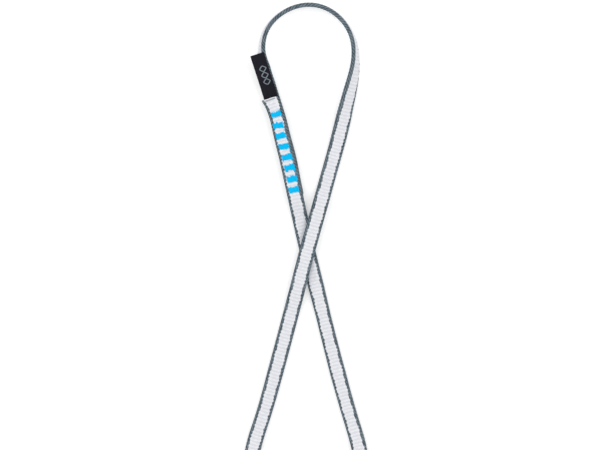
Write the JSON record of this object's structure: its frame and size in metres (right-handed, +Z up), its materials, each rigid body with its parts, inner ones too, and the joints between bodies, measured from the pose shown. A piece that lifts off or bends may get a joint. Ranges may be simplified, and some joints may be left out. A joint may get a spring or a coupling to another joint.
{
  "type": "polyethylene sling",
  "caption": "Short open climbing sling of narrow flat webbing, lapped and bartacked into a loop with a folded label, laid on a table in a crossed loop.",
  "frame": {"origin": "on the table under the middle of the sling's bounding box", "axes": "+Y along the sling towards the labelled end, +Z up from the table it lies on"},
  "size_m": [0.0639, 0.2659, 0.009],
  "materials": {
    "webbing": "woven pale core with narrow grey edges, low sheen",
    "bartack_thread": "bright thread",
    "label": "dull woven tape"
  },
  "bodies": {
    "sling": {"webbing": "webbing", "bartack_1": "bartack_thread", "bartack_2": "bartack_thread", "bartack_3": "bartack_thread", "bartack_4": "bartack_thread", "bartack_5": "bartack_thread", "bartack_6": "bartack_thread", "bartack_7": "bartack_thread", "bartack_8": "bartack_thread", "label_tail": "label"},
    "flag": {"label_flag": "label"}
  },
  "joints": [
    {"name": "label_flap", "type": "hinge", "parent": "sling", "child": "flag", "pos_m": [-0.01833, 0.08447, 0.0029], "axis": [0.9511, 0.309, 0], "range_deg": [0, 85]}
  ]
}
